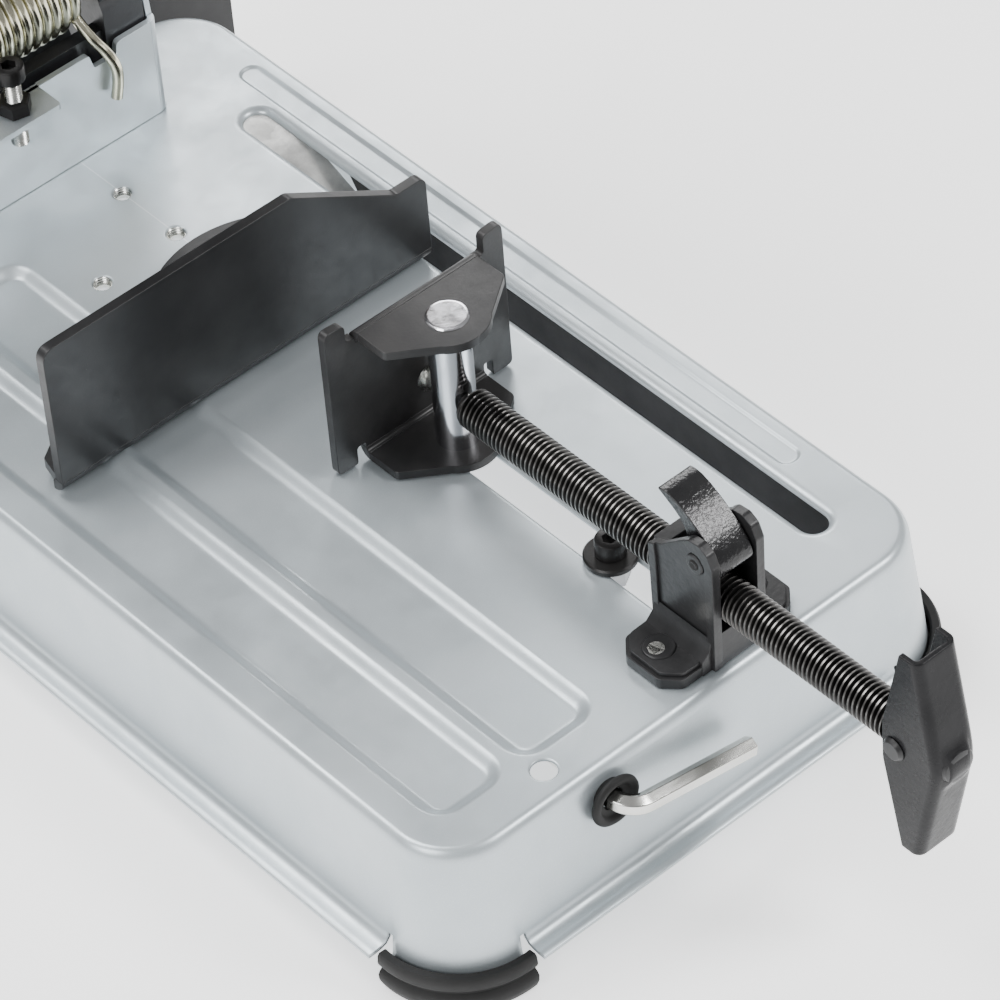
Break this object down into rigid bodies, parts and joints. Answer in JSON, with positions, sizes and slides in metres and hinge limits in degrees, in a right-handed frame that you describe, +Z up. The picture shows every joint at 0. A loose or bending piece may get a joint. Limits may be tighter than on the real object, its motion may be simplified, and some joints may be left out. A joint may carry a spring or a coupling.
{
  "type": "metal cut-off saw",
  "caption": "Bench cut-off saw for metal: pressed steel tray, swivelling fence, quick-release screw vise and a sprung saw head with an abrasive disc, standing raised.",
  "frame": {"origin": "bottom centre of the bounding box, on the floor plane under the feet", "axes": "+Z up, +Y to the rear where the head is hinged, +X to the right as the operator sees it"},
  "size_m": [0.314, 0.6868, 0.6321],
  "materials": {
    "silver_paint": "satin silver-grey paint",
    "black_powder_coat": "satin black powder coat",
    "black_iron_casting": "black, slightly rough casting",
    "head_casting": "black paint on a casting",
    "black_rubber": "matt rubber",
    "chrome": "bright ground pin",
    "zinc": "bright zinc plate",
    "yellow_zinc": "pale yellow zinc plate",
    "black_oxide": "oiled black oxide",
    "bright_steel": "machined steel",
    "raw_steel": "rough grey sheet",
    "black_plastic": "fine-textured moulding",
    "grey_plastic": "fine-textured moulding",
    "abrasive": "coarse bonded abrasive",
    "copper": "varnished winding"
  },
  "bodies": {
    "base": {"base_pan": "silver_paint", "depth_stop_nut": "black_oxide", "fence_lock_bolt": "zinc", "fence_lock_washer": "zinc", "fence_pivot_bolt": "zinc", "fence_pivot_washer": "zinc", "foot_front_left": "black_rubber", "foot_front_right": "black_rubber", "foot_rear_left": "black_rubber", "foot_rear_right": "black_rubber", "hinge_shaft": "zinc", "hinge_shaft_nut": "zinc", "key_grommet": "black_rubber", "lever_pin": "bright_steel", "nut_bracket": "black_iron_casting", "nut_bracket_bolt_left": "zinc", "nut_bracket_bolt_right": "zinc", "rear_bracket": "silver_paint", "return_spring": "yellow_zinc", "spark_chute": "raw_steel", "spark_deflector": "black_powder_coat", "spring_guide_tube": "bright_steel", "stop_screw": "black_oxide", "stop_screw_nut": "bright_steel", "stop_screw_washer": "black_oxide"},
    "head": {"arm_casting": "head_casting", "gear_cover": "head_casting", "upper_guard": "black_powder_coat", "motor_housing": "black_plastic", "motor_end_cap": "black_plastic", "motor_stator": "bright_steel", "brush_carrier": "grey_plastic", "arbor_bearing": "bright_steel", "handle_shell_left": "black_plastic", "handle_shell_right": "black_plastic", "cable_gland": "black_rubber", "carry_handle": "black_plastic"},
    "disc": {"arbor_shaft": "bright_steel", "drive_gear": "bright_steel", "inner_flange": "bright_steel", "cutting_disc": "abrasive", "outer_flange": "bright_steel", "arbor_bolt": "zinc"},
    "rotor": {"motor_pinion": "bright_steel", "motor_armature": "copper", "cooling_fan": "grey_plastic"},
    "lower_guard": {"lower_guard": "grey_plastic"},
    "trigger": {"trigger": "black_plastic"},
    "lock_off_button": {"lock_off_button": "grey_plastic"},
    "fence": {"fence": "black_powder_coat"},
    "vise_carrier": {"jaw_pin": "chrome"},
    "vise_jaw": {"vise_jaw": "black_powder_coat"},
    "spindle": {"vise_spindle": "black_oxide", "spindle_handle": "black_powder_coat", "handle_rivet": "black_powder_coat"},
    "release_lever": {"release_lever": "black_iron_casting", "half_nut": "bright_steel"},
    "hex_key": {"hex_key": "zinc"},
    "depth_stop": {"depth_stop_bolt": "black_oxide"},
    "transport_lock": {"transport_lock_pin": "zinc"}
  },
  "joints": [
    {"name": "head_hinge", "type": "hinge", "parent": "base", "child": "head", "pos_m": [-0.00795, 0.2278, 0.158], "axis": [1, 0, 0], "range_deg": [0, 62], "stiffness_Nm_per_rad": 12, "springref_deg": -51.57},
    {"name": "disc_spin", "type": "hinge", "parent": "head", "child": "disc", "pos_m": [0.09215, 0.15659, 0.40064], "axis": [1, 0, 0], "continuous": true},
    {"name": "armature_spin", "type": "hinge", "parent": "head", "child": "rotor", "pos_m": [-0.00795, 0.20492, 0.4011], "axis": [1, 0, 0], "continuous": true},
    {"name": "lower_guard_turn", "type": "hinge", "parent": "head", "child": "lower_guard", "pos_m": [0.09215, 0.15659, 0.40064], "axis": [1, 0, 0], "range_deg": [-90, 0]},
    {"name": "trigger_press", "type": "slide", "parent": "head", "child": "trigger", "axis": [0, 0.9063, 0.4226], "range_m": [0, 0.005], "stiffness_N_per_m": 800, "springref_m": -0.004},
    {"name": "lock_off_press", "type": "slide", "parent": "head", "child": "lock_off_button", "axis": [1, 0, 0], "range_m": [0, 0.004], "stiffness_N_per_m": 500, "springref_m": -0.002},
    {"name": "fence_swivel", "type": "hinge", "parent": "base", "child": "fence", "pos_m": [0.01995, 0.0638, 0.08], "axis": [0, 0, 1], "range_deg": [-45, 0]},
    {"name": "vise_slide", "type": "slide", "parent": "base", "child": "vise_carrier", "axis": [0, 1, 0], "range_m": [-0.06, 0.066]},
    {"name": "jaw_swivel", "type": "hinge", "parent": "vise_carrier", "child": "vise_jaw", "pos_m": [0.01995, -0.0528, 0.1092], "axis": [0, 0, 1], "range_deg": [-45, 0]},
    {"name": "spindle_turn", "type": "hinge", "parent": "vise_carrier", "child": "spindle", "pos_m": [0.01995, -0.0528, 0.1092], "axis": [0, 1, 0], "range_deg": [-8640, 9504.1]},
    {"name": "release_lever_lift", "type": "hinge", "parent": "base", "child": "release_lever", "pos_m": [0.01995, -0.2117, 0.134], "axis": [1, 0, 0], "range_deg": [0, 20]},
    {"name": "hex_key_pull", "type": "slide", "parent": "base", "child": "hex_key", "axis": [0, -1, 0], "range_m": [0, 0.11]},
    {"name": "depth_stop_height", "type": "slide", "parent": "base", "child": "depth_stop", "axis": [0, 0, 1], "range_m": [-0.01, 0.001]},
    {"name": "transport_lock_push", "type": "slide", "parent": "base", "child": "transport_lock", "axis": [1, 0, 0], "range_m": [0, 0.012]}
  ],
  "couplings": [
    {"joint": "armature_spin", "follows": "disc_spin", "ratio": -4},
    {"joint": "lower_guard_turn", "follows": "head_hinge", "ratio": -1.4516},
    {"joint": "spindle_turn", "follows": "vise_slide", "rad_per_m": 2513.3}
  ]
}
